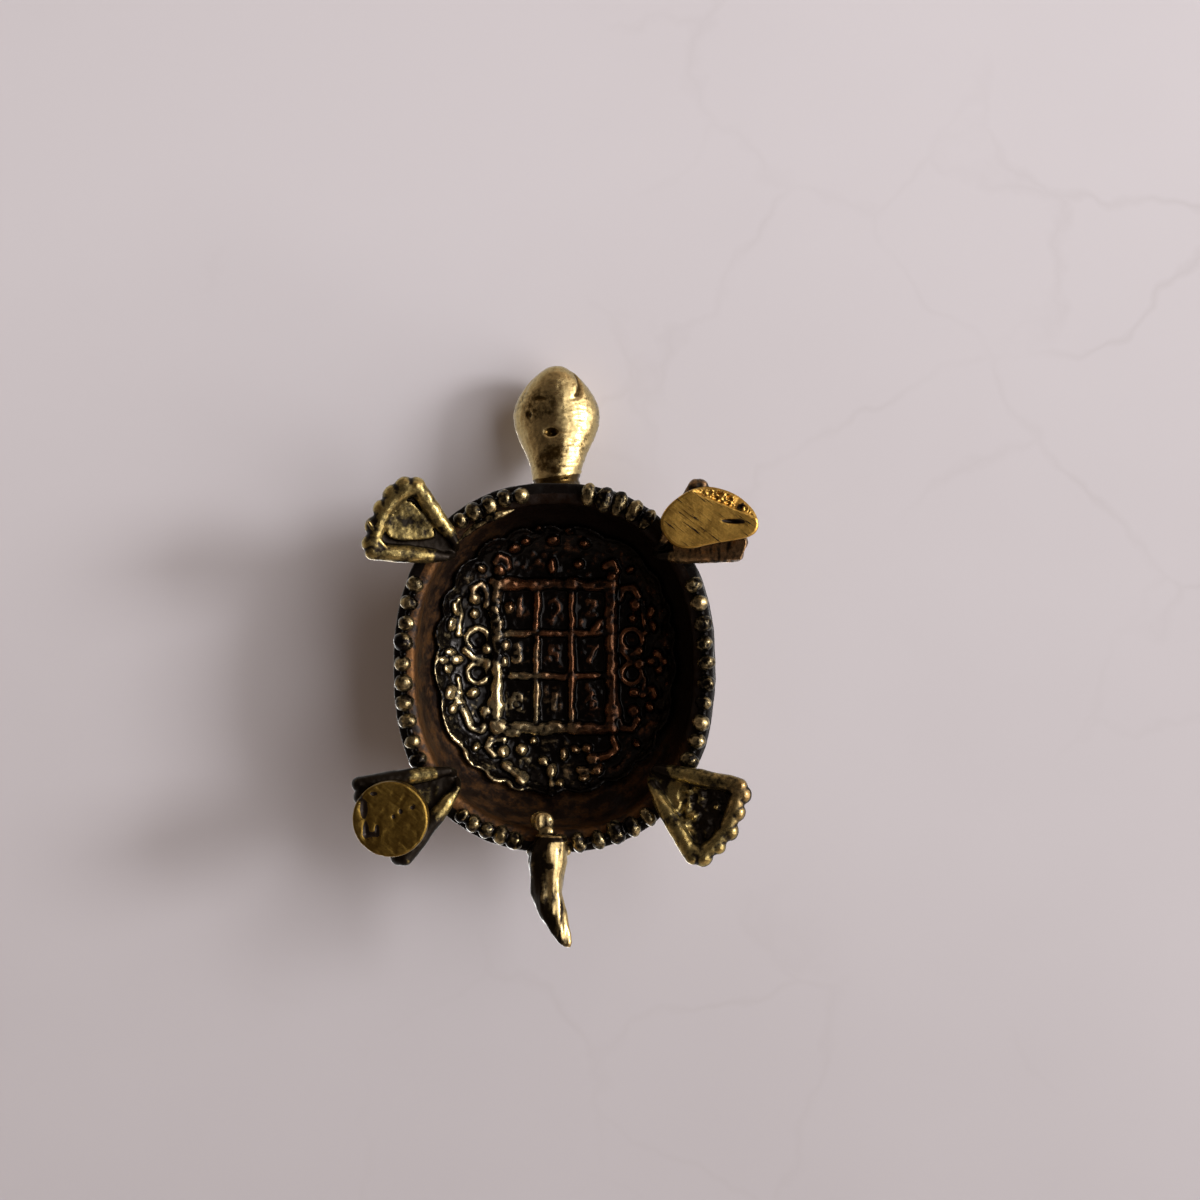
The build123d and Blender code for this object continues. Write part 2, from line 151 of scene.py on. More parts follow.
def cast(name, shape, materials, node, grain, voxel=0.0, soften=0, subdivide=0, wear_rounds=30,
         sculpt=None, stain=None):
    """Finishes a casting: millimetres to metres, a skin over its lumps, cast grain, and its wear.

    Grain is the height of the cast skin's unevenness, and voxel the mesh size of the skin. A sculpt
    function gives how far a place is moved outwards, and a stain function the wear that it shows.
    """
    bmesh.ops.scale(shape, vec=(millimetre,) * 3, verts=shape.verts)
    mesh = mesh_of(name, shape)
    piece = add(name, mesh)
    if subdivide:
        skin = piece.modifiers.new("skin", "SUBSURF")
        skin.levels = skin.render_levels = subdivide
    if voxel:
        skin = piece.modifiers.new("skin", "REMESH")
        skin.mode = "VOXEL"
        skin.voxel_size = voxel * millimetre
        skin.adaptivity = 0.0
    if soften:
        smooth = piece.modifiers.new("soften", "SMOOTH")
        smooth.factor = 0.5
        smooth.iterations = soften
    bpy.context.view_layer.update()
    final = bpy.data.meshes.new_from_object(piece.evaluated_get(bpy.context.evaluated_depsgraph_get()))
    piece.modifiers.clear()
    piece.data = final
    final.name = name
    bpy.data.meshes.remove(mesh)
    normals = [tuple(item.vector) for item in final.vertex_normals]
    for vert, normal in zip(final.vertices, normals):
        place = vert.co / millimetre
        rough = sum(noise(place * scale) * share for scale, share in cast_grain)
        stand = rough * grain + (sculpt(place) if sculpt else 0)
        vert.co += Vector(normal) * stand * millimetre
    final.update()
    final.shade_smooth()
    worn = wear_of(final, wear_rounds)
    if stain:
        worn = np.array([stain(vert.co / millimetre, value) for vert, value in zip(final.vertices, worn)])
    wear = final.attributes.new("wear", "FLOAT", "POINT")
    wear.data.foreach_set("value", worn.astype(np.float32))
    for material in materials:
        final.materials.append(material)
    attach(piece, "root")
    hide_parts(node)


def put(tree, kind, inputs=None, **settings):
    """Adds one shader node; an input is a number, a colour or another node's output."""
    made = tree.nodes.new("ShaderNode" + kind)
    for key, value in settings.items():
        setattr(made, key, value)
    for key, value in (inputs or {}).items():
        socket = made.inputs[key]
        if isinstance(value, bpy.types.NodeSocket):
            tree.links.new(value, socket)
        else:
            socket.default_value = value
    return made


def empty_tree(owner):
    """The node tree of a new material or world, with nothing in it."""
    owner.use_nodes = True
    owner.node_tree.nodes.clear()
    return owner.node_tree


def specks(tree, place, scale, detail, roughness=0.5):
    """Noise that doesn't repeat, about 0.5."""
    return put(tree, "TexNoise", {"Vector": place, "Scale": scale, "Detail": detail,
                                  "Roughness": roughness}).outputs["Fac"]


def reckon(tree, operation, *values, **settings):
    """One sum on up to three values."""
    return put(tree, "Math", dict(enumerate(values)), operation=operation, **settings).outputs[0]


def grade(tree, value, first, last, low=0.0, high=1.0, blend="LINEAR"):
    """A value moved from one range onto another, and held at its ends."""
    inputs = {"Value": value, "From Min": first, "From Max": last, "To Min": low, "To Max": high}
    return put(tree, "MapRange", inputs, interpolation_type=blend).outputs[0]


def mix(tree, share, first, last):
    """A colour between two others."""
    return put(tree, "Mix", {0: share, 6: first, 7: last}, data_type="RGBA").outputs[2]


def patinated(name, bare, dark, wear, roughness, dark_metal, mottle=0.8, grit=0.2, scratch=None,
              second=None):
    """Brass with a dark patina in its hollows that is rubbed through to metal on what stands out.

    Wear is where the rubbing starts and where it is complete, and roughness is that of the bare metal
    and of the patina. A scratch is its turn, its scale along and across, its depth and the share that
    is dark. The second colour takes over along one direction, between two places in metres.
    """
    material = bpy.data.materials.new(name)
    tree = empty_tree(material)
    place = put(tree, "TexCoord").outputs["Object"]
    worn = put(tree, "Attribute", attribute_name="wear").outputs["Fac"]
    blotch = specks(tree, place, 330.0, 5.0, 0.6)
    fine = specks(tree, place, 1900.0, 4.0, 0.7)
    broken = reckon(tree, "SUBTRACT", blotch, 0.5)
    level = reckon(tree, "MULTIPLY_ADD", broken, mottle * 6, worn)
    level = reckon(tree, "MULTIPLY_ADD", reckon(tree, "SUBTRACT", fine, 0.5), mottle * 3, level)
    height = reckon(tree, "ADD", fine, blotch)
    if scratch:
        turn, length_scale, width_scale, depth, dark_share = scratch
        stretch = (1 / length_scale, 1 / width_scale, 1 / width_scale)
        lines = put(tree, "Mapping", {"Vector": place, "Rotation": (0, 0, radians(turn)),
                                      "Scale": stretch}, vector_type="TEXTURE")
        cuts = specks(tree, lines.outputs[0], 1.0, 3.0, 0.75)
        level = reckon(tree, "ADD", level, grade(tree, cuts, 1 - dark_share, 1.04 - dark_share, 0.0, -3.0))
        height = reckon(tree, "MULTIPLY_ADD", cuts, depth, height)
    rubbed = grade(tree, level, *wear, blend="SMOOTHSTEP")
    metal_colour = (*bare, 1)
    if second:
        other, direction, first, last = second
        along = put(tree, "VectorMath", {0: place, 1: direction}, operation="DOT_PRODUCT")
        along = reckon(tree, "MULTIPLY_ADD", broken, 0.012, along.outputs["Value"])
        share = grade(tree, along, first, last, blend="SMOOTHSTEP")
        metal_colour = mix(tree, share, metal_colour, (*other, 1))
    colour = mix(tree, rubbed, (*dark, 1), metal_colour)
    tone = grade(tree, fine, 0.3, 0.75, 0.7, 1.25)
    toned = put(tree, "VectorMath", {0: colour, 3: tone}, operation="SCALE")
    gloss = grade(tree, rubbed, 0.0, 1.0, roughness[1], roughness[0])
    bump = put(tree, "Bump", {"Height": height, "Strength": grit, "Distance": 0.12 * millimetre})
    shader = put(tree, "BsdfPrincipled", {
        "Base Color": toned.outputs[0], "Metallic": grade(tree, rubbed, 0.0, 1.0, dark_metal, 1.0),
        "Roughness": reckon(tree, "MULTIPLY_ADD", broken, 0.5, gloss), "Normal": bump.outputs[0],
        "Specular IOR Level": 0.3})
    put(tree, "OutputMaterial", {"Surface": shader.outputs[0]})
    return material


brass_bare = (0.48, 0.325, 0.115)
brass_dark = (0.014, 0.008, 0.005)
patina_black = (0.005, 0.0035, 0.003)
shell_skin = patinated("shell_cast_brass", brass_bare, brass_dark, wear=(-0.3, 2.6), roughness=(0.28, 0.36),
                       dark_metal=0.5)
# The inside's second colour, near black towards the turtle's left front, is painted shade where the bowl's
# own wall keeps the window's light out.
shell_inside = patinated("shell_inside_copper_brown_with_painted_shade", (0.15, 0.071, 0.028), (0.011, 0.005, 0.003),
                         wear=(-1.3, 1.5), roughness=(0.5, 0.5), dark_metal=0.35, mottle=1.3, grit=0.7,
                         second=((0.018, 0.009, 0.005), (1, -0.8, 0), 0.001, 0.013))
shell_rim = patinated("shell_rim_black_patina", (0.16, 0.09, 0.04), patina_black, wear=(3.0, 9.0),
                      roughness=(0.34, 0.28), dark_metal=0.3, mottle=1.2)

inner_shares = (0.828, 0.86, 0.89, 0.92, 0.945, 0.965, 0.98, 0.99, 0.997, 1.0)
outer_shares = (1.0, 0.99, 0.975, 0.955, 0.93, 0.9, 0.87)
flange_steps = ((-1.5, 0.0), (-0.4, 0.0), (0.0, 0.25), (0.0, 0.75), (-0.4, rim_thickness),
                (-1.6, rim_thickness))
rings = [dome_ring(wall, share) for share in inner_shares]
wall_rings, flange_edge = len(rings), 4
for inset, lift in flange_steps:
    rings.append((rim_half_width + inset, rim_half_length + inset, shell_middle_y, rim_height + lift))
for share in outer_shares:
    *sizes, middle_y, height = dome_ring(0, share)
    rings.append((*sizes, middle_y, height + rim_thickness * drop_share(share)))
bezel_share = (window_half_width + bezel_width) / foot_half_width
window_share = window_half_width / foot_half_width
bezel_steps = ((bezel_share + 0.012, 0.0), (bezel_share, -bezel_height), (window_share + 0.02, -bezel_height),
               (window_share, 0.1), (window_share, 0.9))
rings += [dome_ring(depth, share) for share, depth in bezel_steps]


def shell_stain(place, worn):
    """Keeps the flange as dirty as the bowl beside it."""
    if place.z > rim_height + 1.2 * rim_thickness:
        return worn
    return min(worn, 0.1) + 1.5 * noise(place * 0.7)


shell_shape = bmesh.new()
verts = bmesh.ops.create_circle(shell_shape, segments=shell_sides, radius=1.0)["verts"]
first_edges = edges = shell_shape.edges[:]
shape_ring(verts, *rings[0])
for number, ring in enumerate(rings[1:]):
    old_faces = set(shell_shape.faces)
    new_verts, edges = next_ring(shell_shape, edges)
    for vert in new_verts:
        vert.co.y -= rings[number][2]
        vert.co.x /= rings[number][0]
        vert.co.y /= rings[number][1]
    shape_ring(new_verts, *ring)
    for face in set(shell_shape.faces) - old_faces:
        if number < wall_rings:
            face.material_index = 1
        elif number < wall_rings + flange_edge:
            face.material_index = 2
        else:
            face.material_index = 0
bmesh.ops.bridge_loops(shell_shape, edges=list(first_edges) + list(edges))
bmesh.ops.recalc_face_normals(shell_shape, faces=shell_shape.faces)
cast("shell_casting", shell_shape, [shell_skin, shell_inside, shell_rim], "shell",
     grain=0.16, subdivide=2, wear_rounds=40, stain=shell_stain)

# The crown plate: a thin cast medallion with a lobed edge that fills the window from inside. A grid
# of nine fields stands in its middle, and rings, hooks, drops and leaves stand round it on both
# faces. The ground is black with patina, and the raised lines are rubbed golden. Painted shade
# turns them dark copper towards the turtle's left front and darkens the lobed edge, and the frame
# of the grid has painted highlights and painted shade in places.
plate_half_width, plate_half_length = 19.2, 21.5
plate_thickness = 0.8
lobe_count, lobe_height = 22, 0.8
points_per_lobe = 6
sheet_shares = (1.0, 0.985, 0.965, 0.93, 0.88, 0.82, 0.75, 0.67, 0.58, 0.48, 0.37, 0.25, 0.12)
# Its second colour, dark copper towards the turtle's left front, is painted shade where the bowl's own wall
# keeps the window's light out.
plate_metal = patinated("crown_plate_black_gold_and_painted_shade", (0.72, 0.57, 0.32), patina_black, wear=(-0.1, 2.0),
                        roughness=(0.25, 0.18), dark_metal=0.6, mottle=0.6, grit=0.35,
                        second=((0.25, 0.11, 0.055), (1, -0.55, 0), -0.012, 0.0))


def lump(shape, place, size, turn=0.0):
    """An egg-shaped lump: its middle, its three sizes and its turn about the upright."""
    matrix = Matrix.Translation(place) @ Matrix.Rotation(radians(turn), 4, "Z")
    matrix @= Matrix.Diagonal((size[0] / 2, size[1] / 2, size[2] / 2, 1))
    bmesh.ops.create_icosphere(shape, subdivisions=3, radius=1.0, matrix=matrix)


def rod(shape, points, widths):
    """A round rod through some points, with one width or a width at each."""
    if not isinstance(widths, (tuple, list)):
        widths = [widths] * len(points)
    points = [Vector(point) for point in points]
    for start, end, first, last in zip(points, points[1:], widths, widths[1:]):
        run = end - start
        matrix = Matrix.Translation((start + end) / 2) @ run.to_track_quat("Z", "Y").to_matrix().to_4x4()
        bmesh.ops.create_cone(shape, cap_ends=True, segments=16, radius1=first / 2, radius2=last / 2,
                              depth=run.length, matrix=matrix)
    for point, width in zip(points, widths):
        lump(shape, point, (width, width, width))


grid_x, grid_y = (-9.5, -3.1, 2.45, 8.85), (-10.7, -2.9, 4.0, 12.3)
grid_frame_width, grid_bar_width = 2.1, 1.15
rods = (
    # hooks at the corners of the grid
    ((-11.1, -7.4), (-10.9, -9.4), (-11.9, -10.6), (-13.1, -10.0), (-12.9, -8.4)),
    ((-15.5, 7.4), (-14.5, 9.8), (-13.5, 12.0), (-11.9, 12.6), (-10.9, 11.2), (-11.2, 9.6)),
    ((10.2, -8.2), (10.6, -9.8), (12.2, -10.2), (13.2, -8.8), (12.6, -7.4)),
    ((9.9, 10.8), (10.3, 12.1), (12.0, 12.4), (13.0, 10.9), (12.4, 9.5)),
    ((-9.5, -14.2), (-8.9, -15.0), (-7.9, -14.6), (-7.7, -13.4), (-8.9, -12.8)),
    ((7.8, -13.6), (9.0, -14.2), (9.6, -12.9), (9.0, -11.9)),
    ((-8.4, 14.1), (-10.2, 14.1), (-10.9, 15.2), (-9.9, 16.4), (-8.5, 16.0)),
    ((9.0, 14.0), (9.6, 15.5), (8.4, 16.6), (5.9, 17.2)),
    # crosses between the rings
    ((-14.5, -0.2), (-12.9, 1.1), (-10.9, 2.0)),
    ((-12.9, 1.1), (-11.1, -0.3)),
    ((10.3, -0.2), (11.7, 1.1), (13.4, 2.0)),
    ((11.7, 1.1), (13.2, -0.1)),
    # stems beside the drops
    ((-15.4, -8.2), (-15.1, -5.4), (-15.5, -2.8)),
    ((-15.5, 4.2), (-15.3, 6.6)),
    ((14.0, -8.0), (13.9, -5.4), (14.3, -3.0)),
    ((14.2, 4.4), (13.9, 7.0)),
    # leaves on the long axis
    ((-0.7, 20.2), (-0.7, 22.4)),
    ((-8.1, 18.1), (-5.4, 20.1)),
    ((3.7, 18.9), (6.6, 18.8)),
)
rod_widths = (1.35,) * 8 + (1.15,) * 4 + (0.7,) * 4 + (0.9, 1.45, 1.3)
# x, y, radius
plate_rings = ((-12.5, -1.9, 1.75), (-12.5, 3.5, 1.6), (12.1, -1.9, 1.7), (12.1, 3.6, 1.65))
lumps = (
    # x, y, width, length, turn
    (-16.7, 0.2, 1.5, 1.2, 0), (-17.6, 1.3, 1.3, 1.2, 0), (-15.8, 1.3, 1.5, 1.1, 0),
    (-17.1, 2.7, 1.1, 1.3, 0), (16.1, 0.4, 1.3, 1.2, 0), (17.0, 1.6, 1.3, 1.2, 0), (15.2, 1.6, 1.4, 1.1, 0),
    (16.4, 2.9, 1.1, 1.2, 0), (-15.9, -6.8, 1.0, 1.8, -8), (-16.5, -4.4, 1.1, 1.8, 14),
    (-16.7, 6.5, 1.3, 1.9, 20), (-16.2, 9.0, 1.1, 1.5, 20), (15.1, -6.3, 1.1, 1.7, 10),
    (15.5, -3.9, 1.1, 1.6, -12), (15.4, 6.6, 1.3, 1.8, -15), (15.0, 8.9, 1.1, 1.4, -20),
    (-13.3, 6.6, 1.6, 1.3, 0), (12.5, 6.6, 1.5, 1.3, 0), (-13.0, -6.0, 1.2, 1.2, 0),
    (12.3, -5.2, 1.2, 1.2, 0), (-6.5, -16.4, 1.5, 1.1, -10), (-4.8, -17.5, 1.3, 1.0, -15),
    (-0.4, -17.7, 1.6, 1.3, 0), (-0.6, -13.6, 1.2, 2.0, 0), (3.6, -13.9, 1.5, 1.3, 0),
    (4.6, -17.1, 1.5, 1.1, 15), (2.2, -19.2, 1.2, 0.9, 10), (-2.6, -19.4, 1.2, 0.9, 0),
    (-5.5, 15.7, 1.6, 1.4, 0), (-2.0, 17.5, 1.5, 1.2, 30), (-0.8, 19.0, 1.4, 1.9, 0),
    (0.7, 20.9, 1.0, 0.9, 0), (3.1, 15.7, 1.4, 1.1, 20), (4.9, 15.5, 1.4, 1.2, -10),
    (4.5, 20.1, 1.4, 1.0, 0), (1.2, 16.4, 1.0, 1.6, 0), (-3.6, 14.4, 1.1, 0.9, 0),
    (-11.8, -13.2, 1.2, 1.0, 30), (11.9, -13.0, 1.2, 1.0, -30), (-12.6, 15.2, 1.2, 1.0, -40),
    (12.8, 14.7, 1.2, 1.0, 40), (-9.9, 8.6, 2.0, 2.6, 5), (-9.3, 11.9, 3.0, 2.0, 20),
    (-6.9, 12.7, 2.8, 1.6, -10), (-8.6, -11.0, 3.4, 1.6, 0), (-9.8, -6.4, 1.8, 2.2, 0),
    (8.9, -9.4, 1.9, 2.4, 10), (9.3, 9.6, 1.9, 3.0, 0), (3.0, 12.3, 3.4, 1.7, 4),
    (-7.6, -6.9, 1.4, 1.6, 20), (-8.2, -0.9, 1.3, 1.4, 0), (-8.3, 1.7, 1.1, 1.3, 0),
    (6.6, -4.0, 1.3, 2.4, 40),
)
digit_rows = ("492", "357", "816")
digit_size, digit_stroke, digit_half_height = 3.6, 0.10, 0.3
inner_digit_sink, outer_digit_sink = -0.08, 0.3
frame_wear_and_painted_light = (
    # x, y, half width, half length, and how much more the frame of the grid is rubbed there; this also paints
    # highlights (more) and shade (less) on the frame
    (-9.3, 8.0, 1.6, 5.5, 0.8), (-7.0, -10.7, 2.6, 1.0, 0.8), (-9.5, -3.6, 1.6, 5.0, -0.4),
    (2.0, -10.7, 6.0, 1.0, -0.4),
)


def lay_on_dome(shape, side):
    """Bends flat relief onto the plate's outer (+1) or inner (-1) face."""
    depth = wall if side > 0 else wall + plate_thickness
    for vert in shape.verts:
        x, y, stand = vert.co
        vert.co.z = dome_height(x, y, depth) + side * stand


def relief(side):
    """The ornament of one face, half sunk in it."""
    shape = bmesh.new()
    x_span, y_span = grid_x[3] - grid_x[0], grid_y[3] - grid_y[0]
    for x in grid_x:
        width = grid_frame_width if x in (grid_x[0], grid_x[3]) else grid_bar_width
        points = [(x + 0.3 * noise_at(x, step, 0.5), grid_y[0] + y_span * step / 12, 0.4)
                  for step in range(13)]
        rod(shape, points, [width * (1 + 0.35 * noise_at(x, step * 1.7, 3)) for step in range(13)])
    for y in grid_y:
        width = grid_frame_width if y in (grid_y[0], grid_y[3]) else grid_bar_width
        points = [(grid_x[0] + x_span * step / 12, y + 0.3 * noise_at(step, y, 0.5), 0.4)
                  for step in range(13)]
        rod(shape, points, [width * (1 + 0.35 * noise_at(step * 1.7, y, 3)) for step in range(13)])
    for points, width in zip(rods, rod_widths):
        rod(shape, [(x, y, 0.4) for x, y in points], width)
        lump(shape, (*points[-1], 0.5), (width * 1.6, width * 1.6, width * 1.6))
    for x, y, radius in plate_rings:
        turns = [2 * pi * step / 16 for step in range(17)]
        rod(shape, [(x + radius * cos(turn), y + radius * sin(turn), 0.35) for turn in turns], 0.95)
    for x, y, across, along, turn in lumps:
        lump(shape, (x, y, 0.45), (across * 1.35, along * 1.35, 2.1), turn)
    for row, digits in enumerate(digit_rows):
        for column, digit in enumerate(digits):
            text = bpy.data.curves.new("digit", "FONT")
            text.body = digit
            text.size = digit_size
            text.align_x, text.align_y = "CENTER", "CENTER"
            text.extrude = digit_half_height
            text.offset = digit_stroke
            sign = bpy.data.objects.new("digit", text)
            mesh = bpy.data.meshes.new_from_object(sign)
            column = column if side < 0 else 2 - column
            x = (grid_x[column] + grid_x[column + 1]) / 2
            y = (grid_y[row] + grid_y[row + 1]) / 2
            sink = outer_digit_sink if side > 0 else inner_digit_sink
            mesh.transform(Matrix.Translation((x, y, sink)) @ Matrix.Diagonal((-side, -1, 1, 1)))
            cut = bmesh.new()
            cut.from_mesh(mesh)
            bmesh.ops.recalc_face_normals(cut, faces=cut.faces)
            cut.to_mesh(mesh)
            cut.free()
            shape.from_mesh(mesh)
            bpy.data.objects.remove(sign)
            bpy.data.curves.remove(text)
            bpy.data.meshes.remove(mesh)
    long_edges = [edge for edge in shape.edges if edge.calc_length() > 1.2]
    bmesh.ops.subdivide_edges(shape, edges=long_edges, cuts=1)
    lay_on_dome(shape, side)
    return shape


def lobed(turn):
    """The share of the plate's reach at one turn, with its uneven lobes."""
    wander = 0.07 * sin(3 * turn + 0.6) + 0.05 * sin(5 * turn + 2.0)
    lobe = abs(sin(lobe_count / 2 * (turn + wander)))
    return 1 - lobe_height / plate_half_width * (1 - lobe ** 0.6)


sheet = bmesh.new()
verts = bmesh.ops.create_circle(sheet, segments=lobe_count * points_per_lobe, radius=1.0)["verts"]
shape_ring(verts, plate_half_width, plate_half_length, 0, 0)
for vert in verts:
    vert.co *= lobed(atan2(vert.co.y / plate_half_length, vert.co.x / plate_half_width))
edges = sheet.edges[:]
for before, after in zip(sheet_shares, sheet_shares[1:]):
    verts, edges = next_ring(sheet, edges)
    bmesh.ops.scale(sheet, vec=(after / before, after / before, 1), verts=verts)
bmesh.ops.contextual_create(sheet, geom=edges)
for vert in verts_of(bmesh.ops.extrude_face_region(sheet, geom=sheet.faces[:])["geom"]):
    vert.co.z = 1.0
bmesh.ops.recalc_face_normals(sheet, faces=sheet.faces)
for vert in sheet.verts:
    vert.co.y += crown_middle_y
    vert.co.z = dome_height(vert.co.x, vert.co.y, wall if vert.co.z > 0.5 else wall + plate_thickness)


def plate_sculpt(place):
    """The casting's uneven run between the lumps."""
    return 0.14 * noise_at(place.x * 0.9, place.y * 0.9, 3)


def plate_stain(place, worn):
    """Dark patina and painted shade at the lobed edge, lighter at the turtle's right rear, and the frame of
    the grid rubbed more in some places than in others, with painted highlights and painted shade.
    """
    edge = oval_share(place.x / plate_half_width, (place.y - crown_middle_y) / plate_half_length)
    # painted shade: the lobed edge is darkened, less at the turtle's right rear where the light reaches it
    dirt_and_painted_shade = 0.8 if place.x < -5 and place.y > 0 else 3.0
    worn -= dirt_and_painted_shade * ramp(edge, 0.93, 0.98)
    for x, y, half_width, half_length, more in frame_wear_and_painted_light:
        if hypot((place.x - x) / half_width, (place.y - y) / half_length) < 1:
            worn += more
    return worn


points, widths = [], []
for step in range(lobe_count * points_per_lobe + 1):
    turn = 2 * pi * step / (lobe_count * points_per_lobe)
    reach = (lobed(turn) - 0.02) / oval_share(cos(turn), sin(turn))
    points.append((plate_half_width * cos(turn) * reach,
                   crown_middle_y + plate_half_length * sin(turn) * reach, 0.1))
    uneven = 0.2 * noise_at(3 * cos(turn), 3 * sin(turn), 1)
    widths.append(max(0.03, 0.25 - 0.25 * cos(turn) + 0.14 * sin(turn) + uneven))
edge_line = bmesh.new()
rod(edge_line, points, widths)
lay_on_dome(edge_line, -1)
plate_shape = bmesh.new()
for part in (sheet, relief(-1), relief(1), edge_line):
    mesh = mesh_of("part", part)
    plate_shape.from_mesh(mesh)
    bpy.data.meshes.remove(mesh)
cast("crown_plate_casting", plate_shape, [plate_metal], "crown_plate", grain=0.26,
     voxel=0.21, soften=2, wear_rounds=26, sculpt=plate_sculpt, stain=plate_stain)

# Rim beads: six strips of cast knobs under the flange, between the neck, the feet and the tail. They
# are brazed on, a little uneven in size, and their tops are rubbed while the gaps stay black.
bead_half_width, bead_half_length = 23.4, 27.1
bead_width, bead_sink = 2.9, 0.95
strip_thickness = 1.1
side_pitch, end_pitch = 3.05, 2.5
bead_strips = (
    # name, first and last angle, pitch, stretch across the rim
    ("rim_beads_side_left", -27.5, 30.5, side_pitch, 1.0),
    ("rim_beads_side_right", 149.5, 207.5, side_pitch, 1.0),
    ("rim_beads_front_left", -77, -54, end_pitch, 1.35),
    ("rim_beads_front_right", -126, -103, end_pitch, 1.0),
    ("rim_beads_rear_left", 54, 80, end_pitch, 1.2),
    ("rim_beads_rear_right", 105, 126, end_pitch, 1.0),
)
turned_edge_widths = (0.4, 0.8, 0.9, 1.2, 1.0, 1.3, 1.1, 0.8, 0.4)
bead_brass = patinated("bead_brass", (0.60, 0.46, 0.23), patina_black, wear=(0.3, 2.8),
                       roughness=(0.15, 0.18), dark_metal=0.8)


def trim(shape, height, side):
    """Cuts away what stands above (+1) or below (-1) one height."""
    bmesh.ops.bisect_plane(shape, geom=shape.verts[:] + shape.edges[:] + shape.faces[:],
                           plane_co=(0, 0, height), plane_no=(0, 0, side))


def rim_point(angle, z, outwards=0.0):
    """A point on the beads' oval."""
    turn = radians(angle)
    reach = 1 / oval_share(cos(turn), sin(turn))
    return Vector(((bead_half_width + outwards) * cos(turn) * reach,
                   shell_middle_y + (bead_half_length + outwards) * sin(turn) * reach, z))


for name, first, last, pitch, stretch in bead_strips:
    strip = bmesh.new()
    angles = [first + (last - first) * step / 60 for step in range(61)]
    path = [rim_point(angle, rim_height - 0.25) for angle in angles]
    lengths = [0.0]
    for start, end in zip(path, path[1:]):
        lengths.append(lengths[-1] + (end - start).length)
    gaps = round(lengths[-1] / pitch)
    rod(strip, path[::3], strip_thickness)
    for bead in range(gaps + 1):
        angle = float(np.interp(lengths[-1] * bead / gaps, lengths, angles))
        place = rim_point(angle, rim_height - bead_sink)
        uneven = noise(place * 7.3)
        size = bead_width * (1 + 0.2 * uneven)
        place += Vector((0.35 * noise(place * 3.1), 0.35 * noise(place * 4.7), 0.2 * noise(place * 2.3)))
        length = size * (0.92 + 0.2 * noise(place * 5.9))
        lump(strip, place, (size * stretch, length, size * 0.95), angle)
    if name == "rim_beads_front_right":
        points = [rim_point(angle, rim_height - 0.75, -2.0 - 0.2 * noise_at(angle, 0, 0))
                  for angle in range(-131, -104, 3)]
        rod(strip, points, turned_edge_widths)
    trim(strip, rim_height, 1)
    cast(name + "_casting", strip, [bead_brass], name, grain=0.3, voxel=0.15, soften=1)

# The head and neck: one solid casting, set through the shell's front wall and brazed there. The snout
# is drawn to a point with the mouth's line round it, and the throat is filed across and has a pit.
head_rings = (
    # y, middle height, width, depth
    (-23.3, 13.5, 7.6, 7.2), (-24.8, 14.0, 7.5, 7.1), (-27.2, 14.9, 7.6, 7.2), (-29.0, 15.6, 8.1, 7.6),
    (-31.0, 16.4, 9.5, 8.4), (-33.4, 17.5, 11.8, 9.6), (-35.6, 18.3, 13.4, 10.5), (-37.4, 18.6, 13.8, 10.8),
    (-39.0, 18.65, 13.3, 10.6), (-40.6, 18.6, 11.9, 9.9), (-42.0, 18.35, 10.0, 8.7), (-43.2, 18.0, 7.8, 7.2),
    (-44.2, 17.7, 5.6, 5.6), (-44.9, 17.5, 3.5, 3.8), (-45.3, 17.4, 1.7, 1.9),
)
head_brass = patinated("head_brass", (0.52, 0.39, 0.18), (0.085, 0.05, 0.013), wear=(-1.3, 0.9),
                       roughness=(0.28, 0.2), dark_metal=0.9, mottle=1.1, grit=0.25,
                       scratch=(0, 150, 1500, 1.5, 0.22))
# x, y, width, length, depth
throat_pits = ((-0.6, -34.6, 0.8, 0.5, 1.3), (-4.2, -37.4, 0.35, 0.45, 0.5), (-2.3, -39.9, 0.7, 0.3, 0.25))
# two dark olive patches on the throat, a painted reflection of the camera's dark side of the room
# x, y, half width, half length
olive_reflection_patches = ((-1.9, -39.2, 2.0, 2.2), (-0.6, -30.1, 2.0, 2.3))


def loft(shape, rings, sides=32):
    """A skin through oval rings across Y, each a middle, a width and a depth, closed at both ends."""
    x, y, z, width, depth = rings[0]
    turned = Matrix.Rotation(pi / 2, 4, "X")
    start = bmesh.ops.create_circle(shape, segments=sides, radius=0.5, matrix=turned)["verts"]
    bmesh.ops.scale(shape, vec=(width, 1, depth), verts=start)
    bmesh.ops.translate(shape, vec=(x, y, z), verts=start)
    edges = first_edges = shape.edges[:]
    for before, after in zip(rings, rings[1:]):
        verts, edges = next_ring(shape, edges)
        bmesh.ops.translate(shape, vec=[-value for value in before[:3]], verts=verts)
        bmesh.ops.scale(shape, vec=(after[3] / before[3], 1, after[4] / before[4]), verts=verts)
        bmesh.ops.translate(shape, vec=after[:3], verts=verts)
    for loop in (first_edges, edges):
        bmesh.ops.contextual_create(shape, geom=list(loop))
    bmesh.ops.recalc_face_normals(shape, faces=shape.faces)


def hill(*shares):
    """A smooth hill: 1 in its middle, and nearly nothing at two shares of its size."""
    return exp(-sum(share * share for share in shares))


